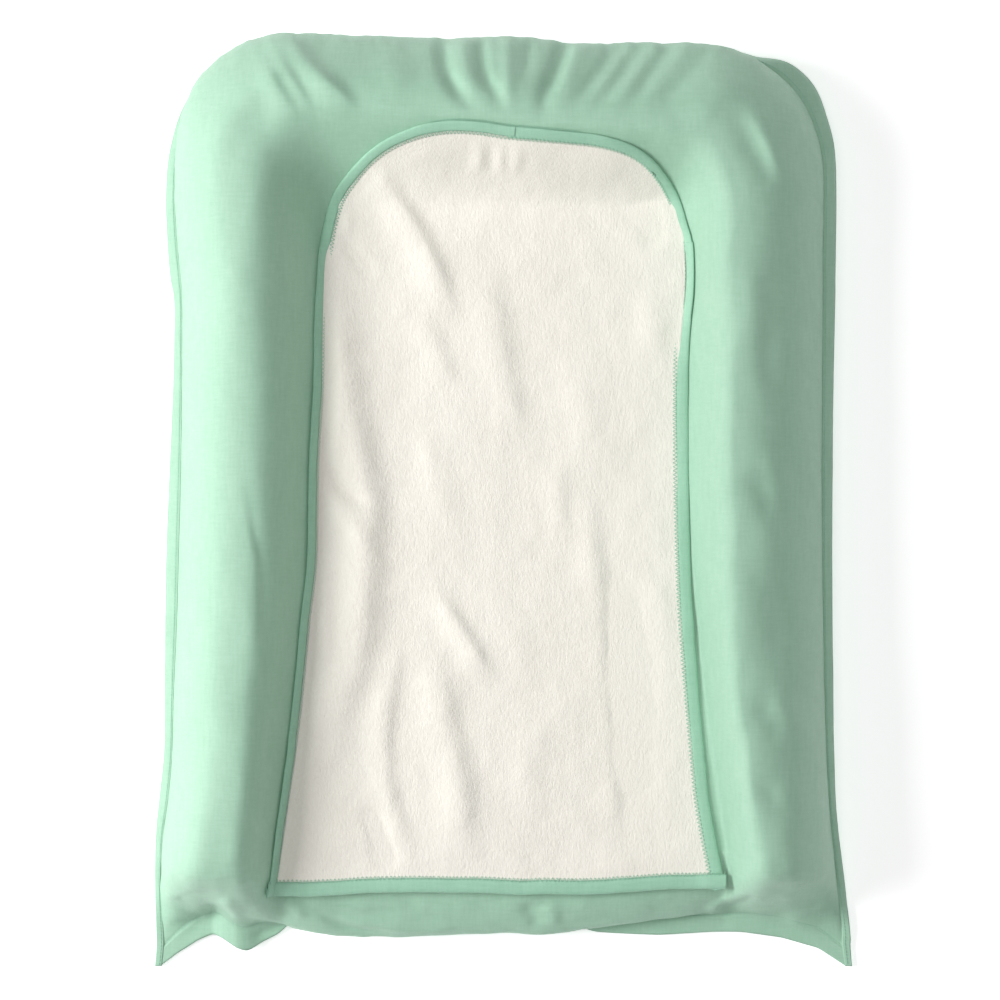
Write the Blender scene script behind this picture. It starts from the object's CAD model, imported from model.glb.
import math

import bmesh
import bpy
import numpy as np
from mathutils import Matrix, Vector, kdtree, noise


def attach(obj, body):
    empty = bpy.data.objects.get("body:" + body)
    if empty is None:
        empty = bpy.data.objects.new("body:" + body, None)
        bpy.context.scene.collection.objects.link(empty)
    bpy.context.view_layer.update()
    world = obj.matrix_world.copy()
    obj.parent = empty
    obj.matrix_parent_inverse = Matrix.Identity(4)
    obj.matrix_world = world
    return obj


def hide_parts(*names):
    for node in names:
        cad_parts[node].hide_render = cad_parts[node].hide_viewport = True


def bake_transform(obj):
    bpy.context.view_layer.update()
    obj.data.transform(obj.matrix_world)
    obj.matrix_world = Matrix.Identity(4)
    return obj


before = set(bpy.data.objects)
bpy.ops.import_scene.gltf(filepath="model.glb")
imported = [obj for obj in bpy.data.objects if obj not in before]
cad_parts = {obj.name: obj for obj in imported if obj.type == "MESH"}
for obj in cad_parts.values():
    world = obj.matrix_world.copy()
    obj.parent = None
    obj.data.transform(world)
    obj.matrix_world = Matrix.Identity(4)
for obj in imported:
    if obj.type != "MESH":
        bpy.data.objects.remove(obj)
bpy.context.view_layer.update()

MM = 0.001  # metres in a millimetre; sizes below are in millimetres unless they say otherwise


def link(obj):
    bpy.context.scene.collection.objects.link(obj)
    return obj


# ------------------------------------------------------------------ camera, straight above
CAMERA_HEIGHT, CAMERA_X = 2.4, -0.003  # metres
SENSOR_WIDTH = 36.0
PICTURE_WIDTH, PICTURE_LEVEL = 0.767, 0.03  # metres across the picture, at this height
camera_data = bpy.data.cameras.new("camera")
camera_data.sensor_width = SENSOR_WIDTH
camera_data.lens = SENSOR_WIDTH * (CAMERA_HEIGHT - PICTURE_LEVEL) / PICTURE_WIDTH
camera = link(bpy.data.objects.new("camera", camera_data))
camera.location = (CAMERA_X, 0.0, CAMERA_HEIGHT)
camera.rotation_euler = (0, 0, 0)
bpy.context.scene.camera = camera

# ------------------------------------------------------------------ sizes, in millimetres
ROLL_TOP = 92.0  # height of the rolls' crests
VALLEY_TOP = 45.0  # height of the cover in the middle
SEAM_HALF = 246.5  # nominal half width between the seams
SEAM_HEAD = 350.0  # nominal y of the head seam
VALLEY = 108.0  # how far in from the seam the rolls' inner sides end
CORNER = 140.0  # reach of the rounded head corners
POWER = 3.2  # how square the head corners are
TOP_END = -268.0  # the front panel is a plain height over the plan above this y
SIDE_TOP = 30.0  # seam height along most of the sides
SEAM_POINTS, EDGE_POINTS = 1500, 1400
END_POINTS = 400  # seam points that cover each side below the head
PULL_FROM, PULL_RUN = 150, 116  # |x| where the foot starts to follow the seam, and over what run
COTTON, FOLD, FLEECE_CLOTH, FLANGE_CLOTH = 0.7, 0.6, 1.5, 1.5  # thicknesses
UNDER_COTTON = 0.72  # just past the cotton's under side
STITCH_LENGTH, STITCH_WIDTH, BACK_STITCH_WIDTH, ZIGZAG_WIDTH = 2.8, 0.55, 0.5, 0.5

# Stations round the seam from the left foot corner over the head to the right foot corner:
# seam x, y, flange edge x, y, seam height, how far the panel stands out over the seam
SEAM = [
    (-266.5, -361.5, -270.6, -361.5, 3, 0), (-264.9, -344, -269.4, -345, 3, 0),
    (-265.5, -322, -269.8, -324, 4, 0), (-266, -298, -270.2, -298, 8, 0),
    (-263.5, -263, -268.8, -260, 16, 0), (-258, -227, -264.6, -222, 23, 0),
    (-254.8, -195, -261.2, -192, 27, 0), (-253.5, -150, -260.8, -150, 28, 0),
    (-250.8, -89, -260.2, -89, 29, 0), (-249.3, -35, -259.2, -35, 30, 0),
    (-247.8, 20, -257, 20, 30, 0), (-247, 84, -254.2, 84, 30, 0), (-246.8, 148, -253, 148, 30, 0),
    (-247.8, 170, -256.4, 172, 30, 0), (-250.8, 200, -258.6, 202, 30, 0.5),
    (-252.3, 235, -259.6, 235, 30, 1.5), (-250, 268, -256.6, 268, 30, 4),
    (-241.5, 298, -247, 300, 30, 7), (-223, 325, -228, 330, 29, 9.5),
    (-200, 342, -202, 346, 28, 9), (-177, 351.5, -177, 355, 27, 8),
    (-150, 352, -150, 354, 27, 7.5), (-110, 351, -110, 353, 27, 7), (-70, 350, -70, 353, 27, 7),
    (-38, 350, -38, 352, 27, 6.5), (0, 351, 0, 353, 27, 7), (33, 348, 33, 350, 27, 7),
    (60, 346, 60, 348, 27, 6), (97, 347, 97, 349, 27, 6.5), (140, 347, 140, 350, 27, 6),
    (168, 345, 172, 351, 27, 5), (194, 337, 199, 346, 27, 2.5), (214, 324, 224, 334, 26, 0.5),
    (230, 305, 240.5, 317, 26, 0), (240.5, 280, 250.5, 289, 28, 0),
    (244.8, 255, 254.9, 263, 30, 0), (245.2, 220, 255.6, 223, 30, 0),
    (244.7, 186, 255, 186, 30, 0), (244.7, 150, 254.6, 150, 30, 0), (244.2, 84, 253.2, 84, 30, 0),
    (243.9, 20, 252.6, 20, 30, 0), (244.6, -60, 252.4, -60, 29, 0),
    (246.2, -144, 253.2, -144, 28, 0), (247.7, -195, 254, -194, 27, 0),
    (251.6, -246, 256.8, -244, 20, 0), (257.7, -293, 264, -296, 10, 0),
    (263, -332, 268.6, -336, 4, 0), (263.6, -345, 268.8, -346, 3, 0),
    (265.8, -361.5, 270, -361.5, 3, 0),
]


# ------------------------------------------------------------------ small maths
def spline(points, count):
    """Catmull-Rom curve through the points, at even arc length."""
    p = np.array(points, float)
    p = np.vstack([2 * p[0] - p[1], p, 2 * p[-1] - p[-2]])
    fine = []
    for i in range(1, len(p) - 2):
        t = np.linspace(0, 1, 24, endpoint=False)[:, None]
        a, b, c, d = p[i - 1], p[i], p[i + 1], p[i + 2]
        bend, twist = 2 * a - 5 * b + 4 * c - d, 3 * b - a - 3 * c + d
        fine.append(0.5 * (2 * b + (c - a) * t + bend * t**2 + twist * t**3))
    fine = np.vstack(fine + [p[-2:-1]])
    return resample(fine, count)


def lengths(path):
    """Length along a path of points, at each of them."""
    return np.concatenate([[0], np.cumsum(np.linalg.norm(np.diff(path, axis=0), axis=1))])


def resample(path, count):
    length = lengths(path[:, :2])
    at = np.linspace(0, length[-1], count)
    return np.stack([np.interp(at, length, path[:, k]) for k in range(path.shape[1])], 1)


def points_along(path, shares):
    """Plan points at shares of a path's length."""
    length = lengths(path)
    return np.stack([np.interp(shares * length[-1], length, path[:, k]) for k in (0, 1)], 1)


def unit(vectors):
    return vectors / np.linalg.norm(vectors, axis=-1)[..., None]


def tree_of(points):
    tree = kdtree.KDTree(len(points))
    for k, p in enumerate(points):
        tree.insert(p, k)
    tree.balance()
    return tree


def plan_tree(points):
    return tree_of([(p[0], p[1], 0) for p in points])


def patch(left, right, foot, head, u, v):
    """Plan points between four curves, u across and v up."""
    p = (1 - u) * left[:, None] + u * right[:, None] + (1 - v) * foot[None] + v * head[None]
    low = (1 - u) * (1 - v) * left[0] + u * (1 - v) * right[0]
    return p - (low + (1 - u) * v * head[0] + u * v * head[-1])


def wave_of(count, pitch, seed, octaves):
    """Noise about 0 along a line of points."""
    values = [noise.fractal(Vector((i * pitch, seed, 0)), 1, 2, octaves) for i in range(count)]
    return np.array(values)


def smooth(t):
    t = np.clip(t, 0, 1)
    return t * t * (3 - 2 * t)


def turbulence(x, y, scale, seed, octaves=2):
    """Smooth noise about 0 over arrays of plan points, in millimetres."""
    flat = [
        noise.fractal(Vector((a / scale, b / scale, seed)), 1.0, 2.0, octaves)
        for a, b in zip(np.ravel(x), np.ravel(y))
    ]
    return np.array(flat).reshape(np.shape(x))


def crease(x, y, path, width, height, skew=0.0, fade=0.35):
    """A soft ridge, or a groove when height is negative, along a path of plan points."""
    line = spline(path, 60)
    tree = plan_tree(line)
    out = np.zeros(x.size)
    fx, fy = x.ravel(), y.ravel()
    reach = 3.2 * width
    low, high = line.min(0) - reach, line.max(0) + reach
    near = (fx > low[0]) & (fx < high[0]) & (fy > low[1]) & (fy < high[1])
    tangent = unit(np.gradient(line, axis=0))
    for k in np.flatnonzero(near):
        _, i, d = tree.find((fx[k], fy[k], 0))
        if d > reach:
            continue
        side = tangent[i, 0] * (fy[k] - line[i, 1]) - tangent[i, 1] * (fx[k] - line[i, 0])
        s = i / (len(line) - 1)
        ends = min(1.0, s / fade, (1 - s) / fade)
        ends = ends * ends * (3 - 2 * ends)
        w = width * (1 + skew * (1 if side > 0 else -1))
        out[k] = height * ends * math.exp(-((d / w) ** 2))
    return out.reshape(x.shape)


# ------------------------------------------------------------------ the seam
seam = spline(SEAM, SEAM_POINTS)
seam_tree = plan_tree(seam)
seam_along = unit(np.gradient(seam[:, :2], axis=0))
seam_out = np.stack([-seam_along[:, 1], seam_along[:, 0]], 1)
seam_left, seam_right = seam[:END_POINTS], seam[-END_POINTS:][::-1]


def on_seam(x, y, column):
    """A column of the seam's table at y, from the side of the pad that x is on."""
    left = np.interp(y, seam_left[:, 1], seam_left[:, column])
    return np.where(x < 0, left, np.interp(y, seam_right[:, 1], seam_right[:, column]))


def inset(x, y):
    side = np.maximum(CORNER - (SEAM_HALF - np.abs(x)), 0)
    head = np.maximum(CORNER - (SEAM_HEAD - y), 0)
    return CORNER - (side**POWER + head**POWER) ** (1 / POWER)


def seam_distance(x, y):
    """Distance square to the seam line, and the nearest station's index."""
    d, index = np.zeros(x.size), np.zeros(x.size, int)
    for k, (a, b) in enumerate(zip(x.ravel(), y.ravel())):
        _, i, dist = seam_tree.find((a, b, 0))
        d[k], index[k] = dist, i
    d, index = d.reshape(x.shape), index.reshape(x.shape)
    station, out = seam[index], seam_out[index]
    along = (y - station[..., 1]) * out[..., 0] - (x - station[..., 0]) * out[..., 1]
    return np.sqrt(np.maximum(d**2 - along**2, 0)), index


# ------------------------------------------------------------------ shape of the filled cover
COVER_CREASES = [
    # path, width, height and, if it leans, skew
    ([(-184, 366), (-146, 326), (-120, 301), (-108, 282)], 9, 6, -0.35),
    ([(-186, 338), (-170, 308), (-152, 280)], 8, 3.2, -0.3),
    ([(-180, 348), (-158, 313), (-141, 284)], 6, 2.6, -0.3),
    ([(-196, 300), (-176, 270), (-158, 236)], 14, -1.6),
    ([(-92, 348), (-84, 326), (-70, 304)], 12, 1.4),
    ([(-49, 374), (-45, 328), (-34, 306), (-17, 286)], 6, -5.2),
    ([(-33, 368), (-29, 328), (-16, 302)], 6, 2.4, -0.2),
    ([(-18, 374), (-16, 326), (-7, 306), (2, 288)], 5, -4.2),
    ([(2, 368), (3, 322), (4, 286)], 5, 2.4),
    ([(24, 366), (18, 332), (14, 308)], 4, -2),
    ([(54, 374), (40, 326), (31, 302), (28, 282)], 6, -5.8),
    ([(70, 368), (51, 326), (40, 298)], 7, 2.4),
    ([(110, 370), (78, 330), (60, 306), (46, 286)], 6, -3.4),
    ([(124, 368), (93, 326), (76, 303), (60, 286)], 6, -3.3),
    ([(142, 362), (113, 324), (98, 302), (82, 286)], 6, -3),
    ([(164, 350), (133, 314), (110, 290)], 8, -2.2),
    ([(184, 322), (158, 300), (134, 276)], 14, 2),
    ([(178, 302), (196, 271), (214, 232)], 8, 2.6, 0.2),
    ([(168, 286), (190, 256), (204, 226)], 9, -1.8),
    ([(222, 286), (226, 262), (228, 236)], 9, -1.4),
    ([(-193, 26), (-187, -20), (-181, -56), (-181, -138)], 5, -1.6, 0.35),
    ([(-206, 210), (-200, 150), (-204, 90)], 14, 0.9),
    ([(-214, -120), (-206, -180), (-212, -240)], 14, 1.1),
    ([(-236, -150), (-224, -170), (-216, -196)], 10, -1.2),
    ([(178, 190), (186, 150), (182, 110)], 12, 1.8),
    ([(194, 176), (200, 140), (196, 100)], 10, -1.6),
    ([(204, 134), (198, 104), (207, 72)], 9, -1.8),
    ([(180, 22), (194, 2), (196, -22)], 9, -2),
    ([(192, 40), (206, 16), (210, -10)], 9, 1.8),
    ([(172, -30), (178, -90), (176, -140)], 12, 1.6),
    ([(196, -60), (204, -96), (200, -130)], 10, -1.4),
    ([(186, -142), (198, -164), (212, -188)], 9, -2),
    ([(202, -136), (214, -158), (228, -180)], 9, 1.8),
    ([(190, -206), (204, -228), (222, -244)], 8, -1.6),
    ([(214, -240), (228, -262), (236, -292)], 11, -2.4),
    ([(-268, -230), (-250, -238), (-236, -252)], 7, -1.1),
    ([(-256, 236), (-240, 226), (-228, 210)], 7, -1),
    ([(-256, 60), (-242, 52), (-232, 40)], 7, -0.9),
    ([(-258, -100), (-242, -108), (-232, -122)], 7, -1),
]


def foot_shift(x, y):
    """How far the rolls' inner sides stand outwards towards the foot, where the towel widens."""
    run = np.clip((20 - y) / 320, 0, 1.05)
    return np.where(x < 0, 38.0, 36.0) * run**1.5


def crest_at(x, y):
    """The left roll's crest is nearer its seam than the right roll's, but for its foot."""
    wander = turbulence(x, y, 64, 41.0) * (2.0 + 3.0 * smooth((x + 50) / 100))
    wide, shift = smooth((x + 150) / 300), foot_shift(x, y)
    return 53.0 + 20.0 * wide - 0.3 * shift - wide * shift**2 / 72 + wander


def side_of_roll(t):
    """Height share from the seam, t 0, to the crest, t 1."""
    t = np.clip(t, 0, 1)
    return (1 - (1 - t) ** 2.2) ** 0.74


def head_share(x, y):
    """0 beside the side rolls, 1 at the head roll."""
    ahead = (y - SEAM_HEAD) - (np.abs(x) - SEAM_HALF)
    return smooth(ahead / 90 + 0.5)


def inner_side(x, y, d):
    """Height share from the crest to the middle, steepest close to the middle beside the baby."""
    head, crest = head_share(x, y), crest_at(x, y)
    foot = VALLEY - foot_shift(x, y) + 22 * head
    t = np.clip((d - crest) / (foot - crest), 0, 1)
    return (1 - t ** (2.3 - 0.6 * head)) ** (1.6 + 0.7 * head)


def cover_surface(x, y, details=True):
    """Front panel's height over the plan, inside its roll crests and on them."""
    d, crest = inset(x, y), crest_at(x, y)
    z = VALLEY_TOP + (ROLL_TOP - VALLEY_TOP) * inner_side(x, y, d)
    low = SIDE_TOP + (ROLL_TOP - SIDE_TOP) * side_of_roll(d / crest)
    z = np.where(d < crest, low, z)
    if details:
        z = z + cover_details(x, y)
    return z


def cover_details(x, y):
    z = 0.9 * turbulence(x, y, 75, 3.1) + 0.35 * turbulence(x, y, 24, 9.4)
    for path, *shape in COVER_CREASES:
        z += crease(x, y, path, *shape, fade=0.4)
    return z


# ------------------------------------------------------------------ mesh helpers
def make_mesh(name, verts, faces, material):
    mesh = bpy.data.meshes.new(name)
    mesh.from_pydata([tuple(v) for v in np.asarray(verts) * MM], [], faces)
    mesh.validate()
    mesh.update()
    mesh.polygons.foreach_set("use_smooth", [True] * len(mesh.polygons))
    mesh.materials.append(material)
    return link(bpy.data.objects.new(name, mesh))


def outward(obj, weld=None):
    """Turn a closed mesh's faces outwards, after welding points nearer than weld metres."""
    bm = bmesh.new()
    bm.from_mesh(obj.data)
    if weld:
        bmesh.ops.remove_doubles(bm, verts=bm.verts, dist=weld)
    bmesh.ops.recalc_face_normals(bm, faces=bm.faces)
    bm.to_mesh(obj.data)
    bm.free()
    return obj


def grid_faces(rows, cols, start=0, flip=False):
    faces = []
    for i in range(rows - 1):
        for j in range(cols - 1):
            a = start + i * cols + j
            quad = (a, a + 1, a + cols + 1, a + cols)
            faces.append(quad[::-1] if flip else quad)
    return faces


def normals_of(grid):
    """Unit normals of a grid of points (rows, cols, 3)."""
    du = np.gradient(grid, axis=0)
    dv = np.gradient(grid, axis=1)
    n = np.cross(dv, du)
    n /= np.maximum(np.linalg.norm(n, axis=2), 1e-9)[..., None]
    if n[..., 2].mean() < 0:
        n = -n
    return n


def thick_grid(name, top, thickness, material):
    """A closed sheet under a grid of points, thickness in millimetres."""
    rows, cols = top.shape[:2]
    under = top - normals_of(top) * thickness
    verts = np.vstack([top.reshape(-1, 3), under.reshape(-1, 3)])
    half = rows * cols
    faces = grid_faces(rows, cols, 0, True) + grid_faces(rows, cols, half, False)
    rim = [(i, 0) for i in range(rows)] + [(rows - 1, j) for j in range(1, cols)]
    rim += [(i, cols - 1) for i in range(rows - 2, -1, -1)]
    rim += [(0, j) for j in range(cols - 2, 0, -1)]
    index = [i * cols + j for i, j in rim]
    for a, b in zip(index, index[1:] + index[:1]):
        faces.append((a, b, b + half, a + half))
    return outward(make_mesh(name, verts, faces, material))


def swept(name, centre, across, normal, section, material):
    """A section of (across, up) points swept along a path with the given frames."""
    n, k = len(centre), len(section)
    verts = []
    for c, a, u in zip(centre, across, normal):
        for p, q in section:
            verts.append(c + a * p + u * q)
    faces = []
    for i in range(n - 1):
        for j in range(k):
            a = i * k + j
            b = i * k + (j + 1) % k
            faces.append((a, b, b + k, a + k))
    faces.append(tuple(range(k))[::-1])
    faces.append(tuple((n - 1) * k + j for j in range(k)))
    return outward(make_mesh(name, np.array(verts), faces, material))


# One stitch in four rings: share of its length, how full it is, how far it stands up
STITCH_RINGS = ((0.0, 0.45, -0.25), (0.25, 1, 0.1), (0.75, 1, 0.1), (1.0, 0.45, -0.25))
RING_POINTS = 6


def row_of_stitches(points, normals, length):
    """Pairs of stitch ends, each a point and its normal, along a path."""
    along = lengths(points)
    pairs = []
    at = 0.3 * length
    while at + length < along[-1]:
        ends = []
        for s in (at, at + length * 0.72):
            p = np.array([np.interp(s, along, points[:, k]) for k in range(3)])
            u = np.array([np.interp(s, along, normals[:, k]) for k in range(3)])
            ends.append((p, u))
        pairs.append(ends)
        at += length
    return pairs


def stitches(name, pairs, width):
    """Small flattened threads, one between the two ends of each pair."""
    verts, faces = [], []
    for (a, ua), (b, _) in pairs:
        t = b - a
        size = np.linalg.norm(t)
        if size < 1e-6:
            continue
        t = t / size
        side = np.cross(t, ua)
        side /= np.linalg.norm(side)
        start = len(verts)
        for share, swell, lift in STITCH_RINGS:
            c = a + t * size * share + ua * width * lift
            for j in range(RING_POINTS):
                angle = math.pi * j / 3
                verts.append(
                    c
                    + side * math.cos(angle) * width * 0.5 * swell
                    + ua * math.sin(angle) * width * 0.42 * swell
                )
        for r in range(len(STITCH_RINGS) - 1):
            for j in range(RING_POINTS):
                p = start + r * RING_POINTS + j
                q = start + r * RING_POINTS + (j + 1) % RING_POINTS
                faces.append((p, q, q + RING_POINTS, p + RING_POINTS))
        last = start + (len(STITCH_RINGS) - 1) * RING_POINTS
        faces.append(tuple(start + j for j in range(RING_POINTS))[::-1])
        faces.append(tuple(last + j for j in range(RING_POINTS)))
    return make_mesh(name, np.array(verts), faces, THREAD)


# ------------------------------------------------------------------ materials
def node_material(name):
    material = bpy.data.materials.new(name)
    material.use_nodes = True
    tree = material.node_tree
    tree.nodes.clear()
    out = tree.nodes.new("ShaderNodeOutputMaterial")
    shader = tree.nodes.new("ShaderNodeBsdfPrincipled")
    tree.links.new(shader.outputs[0], out.inputs[0])
    return material, tree, shader


def new(tree, kind, **values):
    node = tree.nodes.new(kind)
    for key, value in values.items():
        if key in node.inputs.keys():
            node.inputs[key].default_value = value
        else:
            setattr(node, key, value)
    return node


def math_node(tree, operation, *values):
    node = tree.nodes.new("ShaderNodeMath")
    node.operation = operation
    for i, value in enumerate(values):
        if isinstance(value, (int, float)):
            node.inputs[i].default_value = value
        else:
            tree.links.new(value, node.inputs[i])
    return node.outputs[0]


def noise_node(tree, coords, **values):
    node = new(tree, "ShaderNodeTexNoise", **values)
    tree.links.new(coords, node.inputs["Vector"])
    return node.outputs[0]


def stretched(tree, coords, scale):
    node = new(tree, "ShaderNodeMapping", Scale=scale)
    tree.links.new(coords, node.inputs["Vector"])
    return node.outputs[0]


def add_up(tree, *terms):
    """Sum of outputs, each with its weight."""
    total = None
    for value, weight in terms:
        part = value if weight == 1 else math_node(tree, "MULTIPLY", value, weight)
        total = part if total is None else math_node(tree, "ADD", total, part)
    return total


def bump_from(tree, shader, height, strength, distance):
    """Relief of so many metres on the shader's normal."""
    bump = new(tree, "ShaderNodeBump", Strength=strength, Distance=distance)
    tree.links.new(height, bump.inputs["Height"])
    tree.links.new(bump.outputs[0], shader.inputs["Normal"])


def set_inputs(shader, **values):
    for key, value in values.items():
        shader.inputs[key.replace("_", " ")].default_value = value


def thread_wave(tree, coords, direction, pitch):
    """A sine across the threads that run square to a direction, pitch in metres."""
    dot = tree.nodes.new("ShaderNodeVectorMath")
    dot.operation = "DOT_PRODUCT"
    tree.links.new(coords, dot.inputs[0])
    dot.inputs[1].default_value = tuple(c * 2 * math.pi / pitch for c in direction)
    return math_node(tree, "SINE", dot.outputs["Value"])


def colour_mix(tree, factor, a, b):
    mix = tree.nodes.new("ShaderNodeMix")
    mix.data_type = "RGBA"
    tree.links.new(factor, mix.inputs["Factor"])
    for socket, value in ((mix.inputs[6], a), (mix.inputs[7], b)):
        if isinstance(value, tuple):
            socket.default_value = (*value, 1)
        else:
            tree.links.new(value, socket)
    return mix.outputs[2]


def cotton(name, light, dark, pitch=0.00062, strength=0.35):
    """Fine plain weave: two crossing sets of threads over soft variations of the dye."""
    material, tree, shader = node_material(name)
    coords = tree.nodes.new("ShaderNodeTexCoord").outputs["Object"]
    wobble = noise_node(tree, coords, Scale=900.0, Detail=1.0)
    warp = thread_wave(tree, coords, (1, 0, 0.9), pitch)
    weft = thread_wave(tree, coords, (0, 1, 0.9), pitch * 1.06)
    weave = math_node(tree, "MULTIPLY", warp, weft)
    slubs = [
        noise_node(tree, stretched(tree, coords, along), Scale=scale, Detail=4.0, Roughness=0.7)
        for along, scale in (((9.0, 1.0, 2.0), 55.0), ((1.0, 9.0, 2.0), 60.0))
    ]
    cloudy = noise_node(tree, coords, Scale=9.0, Detail=3.0)
    both = math_node(tree, "MULTIPLY", math_node(tree, "ADD", *slubs), 0.36)
    tone = add_up(tree, (weave, 0.08), (both, 3.6), (cloudy, 0.5), (wobble, 0.5))
    tone = math_node(tree, "SUBTRACT", tone, 1.30)
    tree.links.new(colour_mix(tree, tone, light, dark), shader.inputs["Base Color"])
    rough = math_node(tree, "MULTIPLY_ADD", weave, 0.06, 0.62)
    tree.links.new(rough, shader.inputs["Roughness"])
    height = add_up(tree, (weave, 1), (wobble, 0.8), (both, 1.6))
    bump_from(tree, shader, height, strength, 0.00022)
    set_inputs(shader, Sheen_Weight=0.12, Sheen_Roughness=0.5, Specular_IOR_Level=0.9)
    return material


def fleece(name):
    """Short pile: soft clumps and fine fibres that mostly lie along the towel."""
    material, tree, shader = node_material(name)
    coords = tree.nodes.new("ShaderNodeTexCoord").outputs["Object"]
    along = stretched(tree, coords, (1.0, 0.42, 1.0))
    fibres = noise_node(tree, along, Scale=1150.0, Detail=3.0, Roughness=0.7, Distortion=0.5)
    clumps = noise_node(tree, along, Scale=460.0, Detail=3.0, Roughness=0.6, Distortion=0.4)
    cloudy = noise_node(tree, along, Scale=22.0, Detail=4.0, Roughness=0.6)
    tone = add_up(tree, (fibres, 0.55), (clumps, 0.55), (cloudy, 0.35))
    tone = math_node(tree, "SUBTRACT", tone, 0.32)
    light, dark = (0.97, 0.94, 0.87), (0.85, 0.79, 0.705)
    tree.links.new(colour_mix(tree, tone, light, dark), shader.inputs["Base Color"])
    bump_from(tree, shader, add_up(tree, (fibres, 1), (clumps, 1.7)), 0.5, 0.0007)
    set_inputs(
        shader, Roughness=0.95, Sheen_Weight=0.35, Sheen_Roughness=0.5, Specular_IOR_Level=0.15
    )
    return material


def thread(name, light, dark):
    """Twisted sewing thread."""
    material, tree, shader = node_material(name)
    coords = tree.nodes.new("ShaderNodeTexCoord").outputs["Object"]
    twist = thread_wave(tree, coords, (0.7, 0.7, 0.3), 0.0005)
    grain = noise_node(tree, coords, Scale=700.0, Detail=2.0)
    tree.links.new(colour_mix(tree, grain, light, dark), shader.inputs["Base Color"])
    bump_from(tree, shader, twist, 0.4, 0.0001)
    set_inputs(shader, Roughness=0.6)
    return material


def vinyl(name):
    """Wipeable film with a fine leather-like grain."""
    material, tree, shader = node_material(name)
    coords = tree.nodes.new("ShaderNodeTexCoord").outputs["Object"]
    grain = new(tree, "ShaderNodeTexVoronoi", Scale=420.0)
    tree.links.new(coords, grain.inputs["Vector"])
    cloudy = noise_node(tree, coords, Scale=14.0, Detail=3.0)
    tone = colour_mix(tree, cloudy, (0.86, 0.87, 0.86), (0.76, 0.78, 0.78))
    tree.links.new(tone, shader.inputs["Base Color"])
    bump_from(tree, shader, grain.outputs[0], 0.25, 0.0003)
    set_inputs(shader, Roughness=0.38)
    return material


MINT = cotton("mint_cotton", (0.42, 0.672, 0.508), (0.335, 0.592, 0.422))
MINT_BINDING = cotton("mint_binding", (0.40, 0.70, 0.52), (0.315, 0.615, 0.435), 0.0007, 0.45)
THREAD = thread("mint_thread", (0.42, 0.70, 0.55), (0.28, 0.54, 0.40))
FLEECE = fleece("cream_fleece")
VINYL = vinyl("white_vinyl")


# ------------------------------------------------------------------ front panel
def plan_grid(rows, cols):
    """Plan points of the front panel above TOP_END: a smooth patch inside the seam line."""
    left_start = int(np.argmin(np.abs(seam[:700, 1] - TOP_END)))
    right_start = 800 + int(np.argmin(np.abs(seam[800:, 1] - TOP_END)))
    corner_l = int(np.argmin(np.abs(seam[:, 0] + 226) + np.abs(seam[:, 1] - 320)))
    corner_r = int(np.argmin(np.abs(seam[:, 0] - 223) + np.abs(seam[:, 1] - 314)))
    spread = np.linspace(0, 1, cols)
    across = 0.5 - 0.5 * np.cos(math.pi * spread)
    across = 0.55 * across + 0.45 * spread
    rise = np.linspace(0, 1, rows)
    rise = 0.75 * rise + 0.25 * np.sin(math.pi / 2 * rise)

    def between(a, b, shares):
        part = seam[min(a, b):max(a, b) + 1, :2]
        return points_along(part[::-1] if a > b else part, shares)

    left, right = between(left_start, corner_l, rise), between(right_start, corner_r, rise)
    head = between(corner_l, corner_r, across)
    foot = left[0] + (right[0] - left[0]) * across[:, None]
    return patch(left, right, foot, head, across[None, :, None], rise[:, None, None])


def front_points(x, y):
    """The front panel's points over a plan grid above TOP_END."""
    near, index = seam_distance(x, y)
    station = seam[index]
    low = station[..., 4]
    d = inset(x, y)
    mix = smooth((near - 34) / 26)
    d = near * (1 - mix) + d * mix
    crest = crest_at(x, y)
    inner = VALLEY_TOP + (ROLL_TOP - VALLEY_TOP) * inner_side(x, y, d)
    outer = low + (ROLL_TOP - low) * side_of_roll(d / crest)
    z = np.where(d < crest, outer, inner)
    rim = np.exp(-((near - 7) / 9.0) ** 2)
    pucker = turbulence(index * 0.9, near * 0.6, 9.0, 5.5)
    z = z + cover_details(x, y) * smooth(near / 12)
    out = station[..., 5] * np.exp(-(((near - 5) / 12) ** 2)) * smooth(near / 3.5)
    out = out + 1.3 * pucker * rim * smooth(near / 3)
    n = seam_out[index]
    return np.stack([x + n[..., 0] * out, y + n[..., 1] * out, z], -1)


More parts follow.
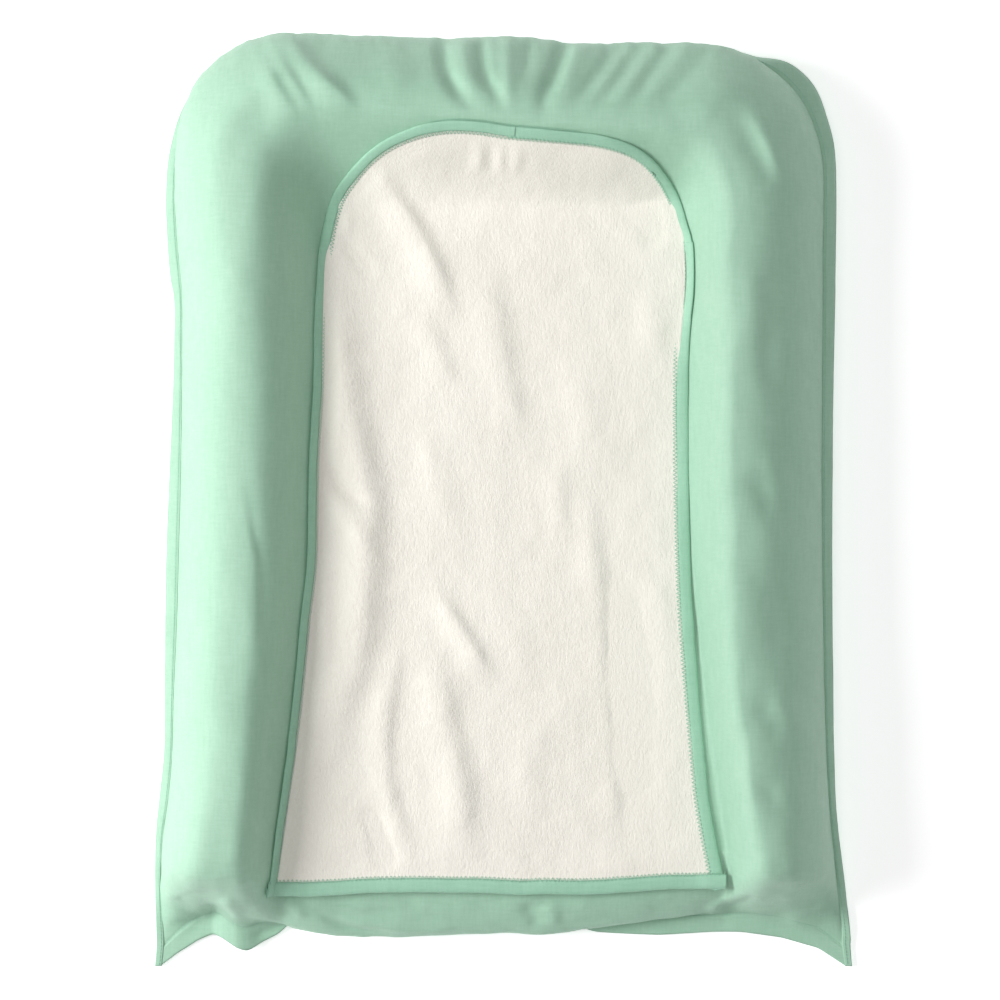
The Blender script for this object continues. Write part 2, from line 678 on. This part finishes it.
# The front panel's way down over the mat's end, for columns from left to right:
# x, then y and height share at six stations, the last of them on the hem's edge
FOOT = [
    (-264, -284, 0.90, -300, 0.62, -314, 0.30, -328, 0.10, -345, 0, -361.5, 0),
    (-252, -284, 0.96, -300, 0.66, -314, 0.30, -327, 0.09, -338, 0.02, -351.5, 0),
    (-236, -284, 0.97, -301, 0.66, -314, 0.28, -323, 0.07, -329, 0.02, -341, 0.01),
    (-224, -284, 0.97, -302, 0.64, -313, 0.26, -320, 0.07, -325, 0.03, -336, 0.01),
    (-217, -285, 0.97, -303, 0.66, -315, 0.30, -323, 0.12, -330, 0.09, -339, 0.07),
    (-206, -285, 0.97, -304, 0.70, -317, 0.36, -327, 0.17, -337, 0.12, -346.5, 0.10),
    (-198, -286, 0.97, -305, 0.72, -318, 0.38, -328, 0.16, -338, 0.10, -349.5, 0.07),
    (-188, -287, 0.98, -306, 0.76, -320, 0.42, -327, 0.14, -334, 0.05, -343, 0.03),
    (-174, -288, 0.99, -309, 0.84, -324, 0.50, -326, 0.16, -328, 0.05, -336, 0.02),
    (-160, -288, 1, -313, 0.90, -329, 0.60, -331, 0.28, -325, 0.10, -322, 0.05),
    (-134, -286, 1, -313, 0.93, -332, 0.66, -336, 0.34, -330, 0.12, -318, 0.07),
    (-108, -285, 1, -312, 0.95, -333, 0.68, -338, 0.36, -331, 0.12, -318, 0.07),
    (-60, -284, 1, -311, 0.96, -332, 0.68, -336, 0.36, -330, 0.12, -318, 0.07),
    (0, -284, 1, -309, 0.97, -330, 0.68, -334, 0.36, -328, 0.12, -318, 0.07),
    (28, -284, 1, -310, 0.96, -331, 0.68, -335.5, 0.36, -329, 0.12, -318, 0.07),
    (52, -284, 1, -309, 0.96, -329, 0.68, -332.5, 0.36, -328, 0.14, -328, 0.07),
    (70, -284, 1, -308, 0.96, -327, 0.66, -330, 0.34, -326, 0.12, -334.5, 0.06),
    (95, -284, 1, -307, 0.96, -324, 0.64, -326.5, 0.34, -323, 0.12, -336, 0.05),
    (120, -284, 1, -305, 0.95, -321, 0.60, -323, 0.32, -321, 0.11, -337, 0.05),
    (146, -285, 1, -304, 0.90, -318, 0.52, -320.5, 0.26, -320, 0.10, -335.5, 0.04),
    (162, -285, 0.99, -302, 0.84, -314, 0.44, -319, 0.18, -320, 0.08, -334.5, 0.03),
    (182, -284, 0.98, -300, 0.72, -311, 0.34, -318, 0.12, -321, 0.06, -334.5, 0.02),
    (210, -284, 0.97, -299, 0.64, -311, 0.28, -321, 0.09, -327, 0.03, -339, 0.01),
    (236, -284, 0.96, -299, 0.62, -312, 0.26, -326, 0.08, -335, 0.02, -347.5, 0),
    (254, -284, 0.90, -299, 0.60, -314, 0.26, -330, 0.08, -346, 0, -361.5, 0),
]
FOOT_CREASES = [
    ([(-152, -302), (-138, -314), (-128, -322), (-100, -327), (-62, -330), (-20, -329)],
     5, 2.2, 0.3),
    ([(-146, -309), (-132, -322), (-110, -332), (-80, -334)], 5, -2.6),
    ([(-170, -300), (-160, -312), (-150, -322)], 5, 2.2),
    ([(180, -296), (166, -308), (152, -319)], 4, 2.4, 0.4),
    ([(194, -300), (178, -312), (166, -320)], 5, -1.8),
    ([(14, -306), (22, -318), (26, -332)], 6, -2),
    ([(32, -306), (38, -318), (40, -330)], 5, 1.6),
    ([(-214, -298), (-206, -312), (-202, -326)], 6, 2.6),
    ([(-226, -306), (-222, -316), (-221, -330)], 5, -1.6),
    ([(-250, -300), (-246, -310), (-250, -320)], 9, -1.4),
    ([(206, -296), (222, -318), (246, -338)], 12, 1.4),
]


def foot_rows(edge, count):
    """Rows that carry the front panel down over the mat's end to its hem."""
    x, z = edge[:, 0], edge[:, 2]
    table = np.array(FOOT)
    low_top, edge_top = on_seam(x, TOP_END, 4), on_seam(x, TOP_END, 0)
    pull = smooth((np.abs(x) - PULL_FROM) / PULL_RUN)
    stations = []
    for k in range(1, table.shape[1], 2):
        y, share = (np.interp(x, table[:, 0], table[:, c]) for c in (k, k + 1))
        low, rim = on_seam(x, y, 4), on_seam(x, y, 0)
        stations.append(np.stack([x + (rim - edge_top) * pull, y, low + (z - low_top) * share], 1))
    control = np.stack([edge] + stations, 0)
    rows = []
    for j in range(control.shape[1]):
        path = spline(control[:, j][:, [1, 2, 0]], count + 1)
        rows.append(path[:, [2, 0, 1]])
    return np.stack(rows, 1)[1:][::-1]


HEM_ROWS, FOOT_ROWS = 10, 64
BEND_FROM, BEND_TO, BEND_HALF = 16, 84, 178  # rows, and |x|, where the rolls bend down to the foot


def cover_front():
    plan = plan_grid(300, 260)
    top = front_points(plan[..., 0], plan[..., 1])
    foot = foot_rows(top[0], FOOT_ROWS)
    grid = np.concatenate([foot, top], 0)
    lower = grid[:FOOT_ROWS]
    for _ in range(3):
        lower[:, 1:-1] = (lower[:, :-2] + 2 * lower[:, 1:-1] + lower[:, 2:]) / 4
    bend = grid[BEND_FROM:BEND_TO]
    share = 0.5 * smooth((np.abs(bend[1:-1, 1:-1, :1]) - BEND_HALF) / 16)
    for _ in range(14):
        soft = bend[1:-1, :-2] + bend[1:-1, 2:] + bend[:-2, 1:-1] + bend[2:, 1:-1]
        bend[1:-1, 1:-1] = (1 - share) * bend[1:-1, 1:-1] + share * 0.25 * soft
    bump = 0.8 * turbulence(lower[..., 0], lower[..., 1] + lower[..., 2], 22, 14.0)
    for path, *shape in FOOT_CREASES:
        bump += crease(lower[..., 0], lower[..., 1], path, *shape)
    row = np.arange(FOOT_ROWS)[:, None]
    bump = bump * smooth((row - 3) / 8) * smooth((70 - row) / 12)
    bump = bump + 0.45 * (row < HEM_ROWS) - 0.5 * (row == HEM_ROWS)
    lower += normals_of(grid)[:FOOT_ROWS] * bump[..., None]
    return grid


front_grid = cover_front()
front = thick_grid("cover_front", front_grid, COTTON, MINT)
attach(front, "cover")
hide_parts("cover_front_panel")

# The front panel's hem, turned under and held by a row of stitches
under_side = front_grid - normals_of(front_grid) * UNDER_COTTON
hem = thick_grid("front_hem_fold", under_side[:HEM_ROWS + 1], FOLD, MINT)
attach(hem, "cover")
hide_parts("front_hem")


# ------------------------------------------------------------------ back panel
BACK_LEVEL = 0.75  # height of the cloth's upper face where it lies on the table
BACK_HEM_ROWS = 8


def back_panel():
    """From the seam down the side walls and flat on the table, open at the foot."""
    plan = plan_grid(150, 140)
    x, y = plan[..., 0], plan[..., 1]
    near, index = seam_distance(x, y)
    low = seam[index][..., 4]
    t = np.clip(near / 17, 0, 1)
    z = low * (1 - (1 - (1 - t) ** 2.0) ** 0.6)
    out = 2.4 * np.sin(np.pi * np.clip(near / 20, 0, 1)) * smooth(near / 3) * smooth((low - 4) / 20)
    n = seam_out[index]
    top = np.stack([x + n[..., 0] * out, y + n[..., 1] * out, z + BACK_LEVEL], -1)
    edge = top[0]
    x = edge[:, 0]
    table = np.array(FOOT)
    end = np.interp(x, table[:, 0], table[:, 11]) + 1.5
    end = np.maximum(end, -352 + 30 * (1 - smooth((np.abs(x) - 185) / 40)))
    end = np.where((x > -166) & (x < 60), -322, end)
    pull = smooth((np.abs(x) - PULL_FROM) / PULL_RUN)
    rim_top = [side[np.argmin(np.abs(side[:, 1] - TOP_END)), 0] for side in (seam_left, seam_right)]
    rows = []
    for share in np.linspace(0, 1, 31)[1:]:
        row = edge.copy()
        row[:, 1] = edge[:, 1] + (end - edge[:, 1]) * share
        row[:, 0] = x + (on_seam(x, row[:, 1], 0) - np.where(x < 0, *rim_top)) * pull
        row[:, 2] = BACK_LEVEL + (edge[:, 2] - BACK_LEVEL) * (1 - smooth(share * 1.3))
        rows.append(row)
    return np.concatenate([np.stack(rows[::-1], 0), top], 0)


back_grid = back_panel()
back = thick_grid("cover_back", back_grid, COTTON, MINT)
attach(back, "cover")
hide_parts("cover_back_panel")
fold_grid = back_grid[:BACK_HEM_ROWS + 1] + np.array([0, 0, 0.65])
back_fold = thick_grid("back_hem_fold", fold_grid, FOLD, MINT)
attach(back_fold, "cover")
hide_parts("back_hem")


# ------------------------------------------------------------------ seam flange
def flange_points(width_share, lift):
    """A line of the flange at a share of its width, lifted off the seam."""
    base = seam[:, [0, 1, 4]].copy()
    base[:, 2] += lift
    out = seam[:, 2:4] - seam[:, :2]
    head = smooth((seam[:, 1] - 318) / 22) * smooth((215 - np.abs(seam[:, 0])) / 25)
    wave = wave_of(len(seam), 0.05, 2.2, 2)
    drop = (0.5 + 0.35 * head) * np.linalg.norm(out, axis=1)
    foot = smooth((-300 - seam[:, 1]) / 30)
    p = base.copy()
    p[:, 0] += out[:, 0] * width_share * (1 - 0.6 * head)
    p[:, 1] += out[:, 1] * width_share * (1 - 0.6 * head)
    share = max(width_share, 0.0)
    p[:, 2] += (1 - foot) * (wave * 1.3 * share - drop * share**1.4)
    p[:, 2] = np.maximum(p[:, 2], 1.9 + lift * 0.5)
    return p


shares = np.linspace(-0.25, 1, 7)
flange_grid = np.stack([flange_points(s, 0.7) for s in shares], 0)
flange = thick_grid("seam_flange_cloth", flange_grid, FLANGE_CLOTH, MINT)
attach(flange, "cover")
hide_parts("seam_flange")

stitch_line = flange_points(0.22, 0.95)
up = np.tile([0.0, 0.0, 1.0], (len(stitch_line), 1))
flange_pairs = row_of_stitches(stitch_line, up, STITCH_LENGTH)
flange_stitch = stitches("flange_stitches", flange_pairs, STITCH_WIDTH)
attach(flange_stitch, "cover")
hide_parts("flange_topstitch")


# ------------------------------------------------------------------ towel
# Outer edge of the towel's binding, up the left side, round the arch and down the right: x, y
TOWEL_EDGE = [
    (-180.5, -300), (-176.5, -270), (-171.5, -232), (-165.8, -190), (-160.4, -143), (-155.2, -89),
    (-150.6, -44), (-149, 28), (-146, 91), (-145.3, 131), (-143.5, 165), (-140.7, 194),
    (-132.5, 228), (-119, 248), (-103, 263), (-84, 274), (-62, 281.5), (-40, 284.5), (-18, 283.5),
    (2, 280.5), (41, 277), (66, 274.5), (85.3, 270.5), (103, 263.5), (118, 252), (132.3, 233),
    (140, 211), (144, 194), (144.5, 159), (141, 123), (139.4, 84), (139.9, 1), (141.8, -70),
    (146.2, -133), (151.3, -190), (155, -228), (161, -262), (168, -296),
]
TOWEL_CREASES = [
    # path, width, height and, if it leans, skew
    (
        [(-132, 200), (-126, 130), (-116, 60), (-105, 0), (-106, -60), (-111, -110), (-126, -160),
         (-146, -230)],
        17, 6, -0.2,
    ),
    ([(-142, 36), (-126, 12), (-98, -8)], 6, -3),
    ([(-136, 4), (-119, -16), (-100, -42)], 8, 1.8),
    ([(-140, -10), (-138, -70), (-136, -130)], 6, 1.4),
    ([(-106, 260), (-84, 232), (-64, 200), (-48, 165), (-38, 130)], 12, 4.2, -0.35),
    ([(-66, 150), (-52, 115), (-38, 78)], 10, 1.5, -0.2),
    ([(-16, 196), (-7, 140), (2, 90), (15, 26)], 15, 2.2, -0.3),
    ([(38, 34), (42, 0), (46, -36)], 10, 1.3, -0.2),
    ([(62, 120), (64, 60), (70, 10)], 15, 1.2),
    ([(78, -6), (84, -90), (91, -180), (96, -288)], 15, -3, 0.5),
    ([(60, 10), (66, -30), (70, -76)], 10, 1.4),
    ([(-54, -100), (-46, -160), (-34, -220), (-26, -288)], 14, 3.6, -0.2),
    ([(-58, -60), (-40, -88), (-24, -112), (-7, -144)], 9, 3, -0.3),
    ([(-78, -88), (-88, -150), (-90, -210), (-75, -262), (-62, -290)], 10, 2.4, -0.3),
    ([(-106, -224), (-93, -260), (-85, -290)], 8, -2.2),
    ([(16, -160), (18, -210), (14, -270)], 14, 1.2),
    ([(-18, 279), (-18, 262), (-20, 246)], 6, 1.5),
    ([(-2, 277), (-2, 262), (-3, 246)], 5, 1.2),
    ([(11, 275), (10, 260), (8, 244)], 5, 1.1),
    ([(-126, 238), (-122, 218), (-116, 200)], 5, 1.5),
    ([(-126, 202), (-112, 184), (-98, 166)], 6, -1.5),
    ([(98, 232), (112, 212), (122, 190)], 10, -1.6),
    ([(104, 170), (112, 140), (116, 100)], 12, 1.6),
    ([(-60, 60), (-52, 10), (-40, -30)], 12, 1.4),
]

edge_line = spline(TOWEL_EDGE, EDGE_POINTS)


def towel_lift(x, y):
    """Folds and soft waves of the towel over the cover."""
    z = 1.1 * turbulence(x, y, 60, 21.0) + 0.4 * turbulence(x, y, 18, 8.0)
    for path, *shape in TOWEL_CREASES:
        z += crease(x, y, path, *shape)
    return z


def towel_foot(x):
    """Outer edge of the towel's foot."""
    rises = 3.0 * smooth((x + 150) / 60), 1.6 * smooth((x + 40) / 60), 4.4 * smooth((x - 60) / 80)
    return -302.0 + rises[0] - rises[1] + rises[2]


def towel_grid(rows, cols, inward):
    """Points inside the towel's edge, in rows from the foot to the head."""
    along = unit(np.gradient(edge_line, axis=0))
    inner = edge_line + np.stack([along[:, 1], -along[:, 0]], 1) * inward
    top = int(np.argmax(inner[:, 1]))
    corner_l = int(np.argmin(np.abs(inner[:top, 0] + 118) + np.abs(inner[:top, 1] - 246)))
    corner_r = top + int(np.argmin(np.abs(inner[top:, 0] - 116) + np.abs(inner[top:, 1] - 250)))
    u, v = np.linspace(0, 1, cols), np.linspace(0, 1, rows)
    above_foot = inner[:, 1] > towel_foot(inner[:, 0]) + inward + 1.5
    first, last = int(np.argmax(above_foot)), len(inner) - int(np.argmax(above_foot[::-1]))
    left = points_along(inner[first:corner_l + 1], v)
    head = points_along(inner[corner_l:corner_r + 1], u)
    right = points_along(inner[corner_r:last][::-1], v)
    foot = left[0] + (right[0] - left[0]) * u[:, None]
    foot[:, 1] = towel_foot(foot[:, 0]) + inward
    left[0, 1], right[0, 1] = foot[0, 1], foot[-1, 1]
    return patch(left, right, foot, head, u[None, :, None], v[:, None, None])


BINDING_COVERS = 7.0  # how far in from the edge the binding holds the fleece flat
EDGE_SOFT = 16.0  # run over which the fleece's folds fade in beyond the binding
TOWEL_INWARD = 5.5  # the fleece ends this far inside the binding's outer edge


def pile_rise(x, y, inside):
    """The fleece's upper face over the cover: lower where its edge is held in the binding."""
    free = smooth((inside - BINDING_COVERS) / EDGE_SOFT)
    return 2.3 + 0.7 * free + np.maximum(towel_lift(x, y), -1.0) * free


plan = towel_grid(300, 170, TOWEL_INWARD)
plan_x, plan_y = plan[..., 0], plan[..., 1]
edge_tree = plan_tree(edge_line)


def edge_distance(x, y):
    distances = [edge_tree.find((a, b, 0))[2] for a, b in zip(x.ravel(), y.ravel())]
    return np.array(distances).reshape(x.shape)


inside = np.minimum(edge_distance(plan_x, plan_y), np.maximum(plan_y - towel_foot(plan_x), 0))
towel_base = np.stack([plan_x, plan_y, cover_surface(plan_x, plan_y, False)], -1)
towel_rise = pile_rise(plan_x, plan_y, inside)
towel_points = towel_base + normals_of(towel_base) * towel_rise[..., None]
towel = thick_grid("towel_fleece", towel_points, FLEECE_CLOTH, FLEECE)
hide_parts("towel_sheet")


# ------------------------------------------------------------------ binding
def edge_frame(line):
    """Points on the towel's edge line with inward and up directions."""
    along = unit(np.gradient(line, axis=0))
    inward = np.stack([along[:, 1], -along[:, 0]], 1)
    x, y = line[:, 0], line[:, 1]
    z0 = cover_surface(x, y, False)
    step = 4.0
    z1 = cover_surface(x + inward[:, 0] * step, y + inward[:, 1] * step, False)
    across = unit(np.stack([inward[:, 0], inward[:, 1], (z1 - z0) / step], 1))
    tangent = unit(np.gradient(np.stack([x, y, z0], 1), axis=0))
    up = unit(np.cross(tangent, across))
    up[up[:, 2] < 0] *= -1
    return np.stack([x, y, z0], 1), across, up


def binding_section(width):
    """Folded tape round the towel's edge: rounded outside, open over the fleece inside."""
    return [
        (width, 2.75), (width * 0.85, 3.05), (width * 0.6, 3.1), (width * 0.3, 2.85), (0.9, 2.5),
        (0.2, 1.9), (0.0, 1.4), (0.3, 0.9), (width * 0.3, 0.5), (width * 0.6, 0.45), (width, 0.5),
        (width, 0.8), (width * 0.62, 0.85), (width * 0.62, 2.35), (width, 2.3),
    ]


def binding(name, a, b, width, node, seed, shift=0.0):
    """Tape along the towel's edge line from point a to point b."""
    line = edge_line[a:b]
    centre, across, up = edge_frame(line)
    sway = wave_of(len(line), 0.035, seed, 3) * 0.45 + shift
    lift = np.maximum(wave_of(len(line), 0.016, seed + 20, 2) * 1.2, 0)
    centre = centre + across * sway[:, None] + up * lift[:, None]
    obj = swept(name, centre, across, up, binding_section(width), MINT_BINDING)
    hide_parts(node)
    return obj


join_top = int(np.argmin(np.abs(edge_line[:, 0] - 6) + (edge_line[:, 1] < 250) * 999))
join_right = int(np.argmin(np.abs(edge_line[:, 1] - 194) + (edge_line[:, 0] < 0) * 999))
bind_left = binding("binding_left_tape", 0, join_top + 4, 8.0, "binding_left", 1.0)
bind_arch = binding(
    "binding_arch_tape", join_top - 2, join_right + 6, 9.0, "binding_arch_right", 2.0
)
bind_right = binding(
    "binding_right_tape", join_right - 2, len(edge_line), 9.3, "binding_right", 3.0, -1.2
)


def foot_binding():
    """Tape along the towel's foot, lifted at its right end, where the roll's side begins."""
    left, right = edge_line[0], edge_line[-1]
    n = 460
    x = np.linspace(left[0] - 1.0, right[0] + 1.0, n)
    y = towel_foot(x)
    z = cover_surface(x, y, False) + 1.4 * smooth((x - right[0] + 24) / 16)
    wave = wave_of(n, 0.03, 7.0, 3)
    centre = np.stack([x, y + wave * 0.5, z + wave * 0.4], 1)
    across = np.tile([0.0, 1.0, 0.0], (n, 1))
    tangent = unit(np.gradient(centre, axis=0))
    across = unit(across - tangent * np.sum(across * tangent, 1)[:, None])
    up = np.cross(tangent, across)
    up[up[:, 2] < 0] *= -1
    section = [(p, q * 1.12) for p, q in binding_section(11.0)]
    obj = swept("binding_foot_tape", centre, across, up, section, MINT_BINDING)
    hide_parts("binding_foot")
    return obj, (centre, across, up)


bind_foot, foot_path = foot_binding()


def zigzag(name, path, inner, outer, lifts, pitch, node, on_pile=True):
    """Stitches between two lines beside a path, the inner line on the fleece's pile."""
    along = lengths(path[0])
    at = np.arange(0, along[-1], pitch)
    c, a, u = (np.stack([np.interp(at, along, f[:, j]) for j in range(3)], 1) for f in path)
    inner_ends, outer_ends = c + a * inner, c + a * outer + u * lifts[1]
    lift = np.full(len(at), lifts[0])
    if on_pile:
        x, y = inner_ends[:, 0], inner_ends[:, 1]
        inner_ends[:, 2] = cover_surface(x, y, False)
        lift = lift + pile_rise(x, y, inner)
    inner_ends = inner_ends + u * lift[:, None]
    ends = [(inner_ends[k] if k % 2 else outer_ends[k], u[k]) for k in range(len(at))]
    obj = stitches(name, list(zip(ends[:-1], ends[1:])), ZIGZAG_WIDTH)
    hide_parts(node)
    return obj


zig_sides = zigzag(
    "zigzag_side_thread", edge_frame(edge_line), 10.8, 7.4, (0.25, 3.35), 1.5, "zigzag_sides"
)
zig_foot = zigzag("zigzag_foot_thread", foot_path, 12.9, 9.7, (0.25, 3.7), 1.5, "zigzag_foot")
head_part = edge_line[(np.abs(edge_line[:, 0]) < 56) & (edge_line[:, 1] > 190)]
tack_thread = zigzag(
    "head_tack_thread", edge_frame(head_part), -1.2, 0.2, (0.9, 1.4), 1.3, "head_tack_stitch", False
)
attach(tack_thread, "cover")


# ------------------------------------------------------------------ mat inside
MAT_HALF, MAT_HEAD, MAT_FOOT = 244.0, 346.0, -317.0
MAT_RIM, MAT_ROLL, MAT_MIDDLE, MAT_RISE = 18.0, 88.6, 41.6, 47.0  # heights
MAT_CORNER_POWER = 3.4
MAT_EDGE_RUN = 14  # run over which the under side curves down to the table


def mat_points(rows, cols, under):
    """Upper or lower half of the padded mat's skin."""
    u = np.linspace(-1, 1, cols)
    u = np.sign(u) * (1 - (1 - np.abs(u)) ** 1.5)
    v = np.linspace(0, 1, rows)
    v = 0.5 - 0.5 * np.cos(math.pi * v)
    y = MAT_FOOT + (MAT_HEAD - MAT_FOOT) * v
    half = MAT_HALF - 7.0 * smooth((-240 - y) / 60)
    power = MAT_CORNER_POWER
    reach = np.maximum(CORNER - (MAT_HEAD - y), 0)
    side = (CORNER**power - np.minimum(reach, CORNER) ** power) ** (1 / power)
    x = u[None] * (half - CORNER + side)[:, None]
    y, half = (np.repeat(values[:, None], cols, 1) for values in (y, half))
    d = CORNER - (
        np.maximum(CORNER - (half - np.abs(x)), 0) ** power
        + np.maximum(CORNER - (MAT_HEAD - y), 0) ** power
    ) ** (1 / power)
    crest = crest_at(x, y)
    raised = smooth((np.abs(x) - 130) / 50)
    rise = np.clip((y - MAT_FOOT - 12 * raised) / (32 + 20 * raised), 0, 1)
    share = np.sin(math.pi / 2 * rise) ** (0.9 + 0.6 * raised)
    rim = MAT_RIM - 10 * raised * (1 - share)
    if under:
        edge = np.clip(np.minimum(d / MAT_EDGE_RUN, (y - MAT_FOOT) / MAT_EDGE_RUN), 0, 1)
        z = rim - (rim - 2.0) * np.sqrt(1 - (1 - edge) ** 2)
    else:
        top = np.where(
            d < crest,
            MAT_RIM + (MAT_ROLL - MAT_RIM) * side_of_roll(d / crest * 0.98),
            MAT_MIDDLE + MAT_RISE * inner_side(x, y, d + 2.5),
        )
        z = rim + (top - MAT_RIM) * share
    return np.stack([x, y, z], -1)


FRONT_GAP, BACK_GAP = 1.7, 1.0


def keep_inside(points, reach=15.0, longest=6.0):
    """Move points that stand outside the cover's cloth, or nearly touch it, inwards."""
    front_side = (front_grid, 1, FRONT_GAP)
    for grid, side, gap in (front_side, (back_grid, -1, BACK_GAP), front_side):
        cloth, normals = grid.reshape(-1, 3), side * normals_of(grid).reshape(-1, 3)
        tree = tree_of(cloth)
        for k, p in enumerate(points):
            _, i, dist = tree.find(p)
            out = float(np.dot(p - cloth[i], normals[i])) + gap
            if dist < reach and out > 0:
                points[k] = p - normals[i] * min(out, longest)
    return points


def mat_body():
    rows, cols = 150, 130
    upper, lower = mat_points(rows, cols, False), mat_points(rows, cols, True)
    verts = keep_inside(np.vstack([upper.reshape(-1, 3), lower.reshape(-1, 3)]))
    faces = grid_faces(rows, cols, 0, True) + grid_faces(rows, cols, rows * cols, False)
    return outward(make_mesh("mat_padding", verts, faces, VINYL), weld=0.00005)


mat = mat_body()
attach(mat, "mat")
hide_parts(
    "mat_base_foam", "roll_foam_left", "roll_foam_right", "roll_foam_head",
    "mat_skin_upper", "mat_skin_lower",
)

# ------------------------------------------------------------------ hem stitches
hem_row = front_grid[HEM_ROWS].copy()
hem_normals = normals_of(front_grid)[HEM_ROWS]
hem_pairs = row_of_stitches(hem_row + hem_normals * 0.1, hem_normals, STITCH_LENGTH)
hem_stitch = stitches("front_hem_stitches", hem_pairs, STITCH_WIDTH)
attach(hem_stitch, "cover")
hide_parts("front_hem_stitch")
back_row = back_grid[BACK_HEM_ROWS] + np.array([0, 0, 0.85])
back_pairs = row_of_stitches(back_row, np.tile([0.0, 0.0, 1.0], (len(back_row), 1)), STITCH_LENGTH)
back_stitch = stitches("back_hem_stitches", back_pairs, BACK_STITCH_WIDTH)
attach(back_stitch, "cover")
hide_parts("back_hem_stitch")

# ------------------------------------------------------------------ the towel turns back
for piece in (towel, bind_left, bind_arch, bind_right, bind_foot, zig_sides, zig_foot):
    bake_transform(piece)


# ------------------------------------------------------------------ floor and light, in metres
FAR = 6  # half width of the floor
FLOOR_GLOW, FLOOR_GREY = 0.45, 0.95
KEY_WATTS, TOP_WATTS, WORLD_STRENGTH = 66, 33, 0.23


def area_light(name, location, target, size, power):
    data = bpy.data.lights.new(name, "AREA")
    data.shape = "RECTANGLE"
    data.size, data.size_y = size
    data.energy = power
    lamp = link(bpy.data.objects.new(name, data))
    lamp.location = location
    aim = Vector(target) - Vector(location)
    lamp.rotation_euler = aim.to_track_quat("-Z", "Y").to_euler()


floor_mesh = bpy.data.meshes.new("floor")
floor_corners = [(-FAR, -FAR, 0), (FAR, -FAR, 0), (FAR, FAR, 0), (-FAR, FAR, 0)]
floor_mesh.from_pydata(floor_corners, [], [(0, 1, 2, 3)])
floor = link(bpy.data.objects.new("floor", floor_mesh))
floor_material, _, floor_shader = node_material("pale_floor")
floor_shader.inputs["Base Color"].default_value = (FLOOR_GREY, FLOOR_GREY, FLOOR_GREY, 1)
floor_shader.inputs["Emission Color"].default_value = (1, 1, 1, 1)
floor_shader.inputs["Emission Strength"].default_value = FLOOR_GLOW
floor_shader.inputs["Roughness"].default_value = 0.9
floor_mesh.materials.append(floor_material)

area_light("key", (-2.2, 0.12, 1.45), (0, 0, 0.05), (1.1, 1.2), KEY_WATTS)
area_light("top", (0.0, 0.2, 3.4), (0, 0, 0), (2.4, 2.4), TOP_WATTS)
world = bpy.data.worlds.new("studio")
world.use_nodes = True
world.node_tree.nodes["Background"].inputs[0].default_value = (1, 1, 1, 1)
world.node_tree.nodes["Background"].inputs[1].default_value = WORLD_STRENGTH
bpy.context.scene.world = world
bpy.context.scene.view_settings.view_transform = "Standard"
